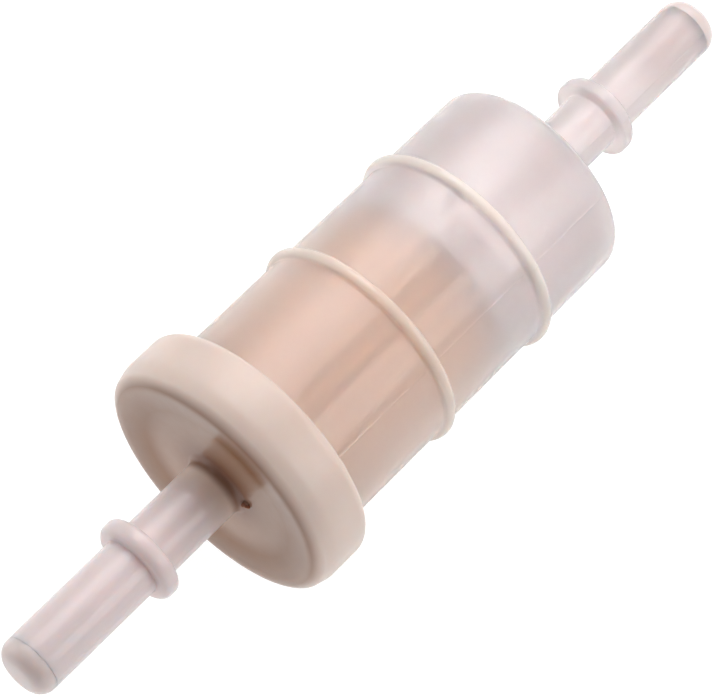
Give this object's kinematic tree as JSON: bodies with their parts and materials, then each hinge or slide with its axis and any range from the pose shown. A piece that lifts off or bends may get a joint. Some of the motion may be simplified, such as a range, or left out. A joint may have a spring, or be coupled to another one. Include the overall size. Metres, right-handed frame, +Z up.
{
  "type": "inline fuel filter",
  "caption": "Translucent plastic inline fuel filter: ridged canister with a pleated paper element, dished end cap and a beaded spigot at each end, closed by transit plugs.",
  "frame": {"origin": "on the flow axis, halfway between the tips of the two transit plugs", "axes": "+X along the flow axis from inlet to outlet, +Z up with the filter lying level"},
  "size_m": [0.1258, 0.0348, 0.0348],
  "materials": {
    "canister_nylon": "natural translucent nylon, satin",
    "cap_nylon": "natural translucent nylon, satin",
    "weld_nylon": "melted and set nylon",
    "grommet_rubber": "dark brown fuel-proof rubber",
    "disc_plastic": "white moulded plastic",
    "adhesive": "set amber adhesive",
    "filter_paper": "resin-treated pleated filter paper",
    "core_plastic": "off-white moulded plastic",
    "plug_plastic": "translucent moulded polyethylene, satin"
  },
  "bodies": {
    "filter": {"canister": "canister_nylon", "end_cap": "cap_nylon", "weld_bead": "weld_nylon", "outlet_grommet": "grommet_rubber", "open_end_disc": "disc_plastic", "open_end_adhesive": "adhesive", "pleated_paper": "filter_paper", "paper_seam": "adhesive", "core_tube": "core_plastic", "closed_end_adhesive": "adhesive", "closed_end_disc": "disc_plastic"},
    "inlet_plug": {"inlet_plug": "plug_plastic"},
    "outlet_plug": {"outlet_plug": "plug_plastic"}
  },
  "joints": [
    {"name": "inlet_plug_pull", "type": "slide", "parent": "filter", "child": "inlet_plug", "axis": [-1, 0, 0], "range_m": [0, 0.014]},
    {"name": "outlet_plug_pull", "type": "slide", "parent": "filter", "child": "outlet_plug", "axis": [1, 0, 0], "range_m": [0, 0.014]}
  ]
}
